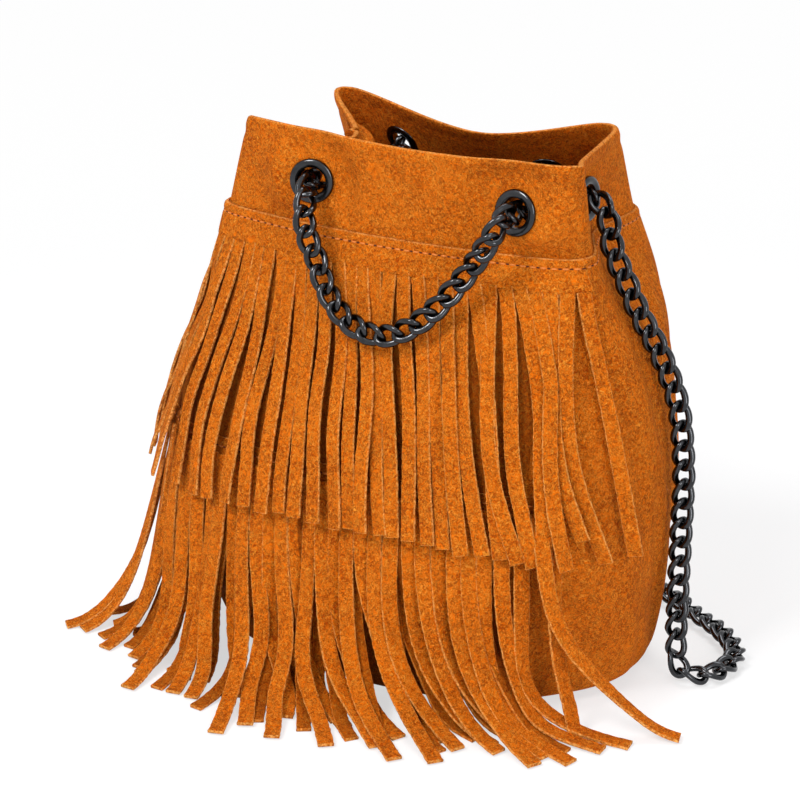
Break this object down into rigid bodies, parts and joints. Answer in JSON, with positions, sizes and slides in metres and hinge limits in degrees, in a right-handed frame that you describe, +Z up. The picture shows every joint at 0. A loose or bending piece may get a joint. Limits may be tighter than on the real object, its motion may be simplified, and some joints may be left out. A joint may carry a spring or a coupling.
{
  "type": "fringed suede bucket bag with chain strap",
  "caption": "Open-topped soft suede bucket bag with two tiers of cut fringe on its front, a folded top band, metal eyelets and a threaded chain strap.",
  "frame": {"origin": "middle of the flat base, on the surface that the bag stands on", "axes": "+Z up, -Y towards the fringed front, +X towards the bag's side where the chain hangs"},
  "size_m": [0.3117, 0.2346, 0.2462],
  "materials": {
    "suede": "napped suede, matt",
    "suede_dark": "napped suede, matt",
    "gunmetal": "polished dark gunmetal plating"
  },
  "bodies": {
    "root": {"body_shell": "suede", "base_panel": "suede_dark", "top_band": "suede", "fringe_upper": "suede", "fringe_lower": "suede", "eyelet_front_left": "gunmetal", "eyelet_front_right": "gunmetal", "eyelet_side_right": "gunmetal", "eyelet_back_right": "gunmetal", "eyelet_back_left": "gunmetal", "eyelet_side_left": "gunmetal", "washer_front_left": "gunmetal", "washer_front_right": "gunmetal", "washer_side_right": "gunmetal", "washer_back_right": "gunmetal", "washer_back_left": "gunmetal", "washer_side_left": "gunmetal", "chain_strap": "gunmetal"}
  },
  "joints": []
}
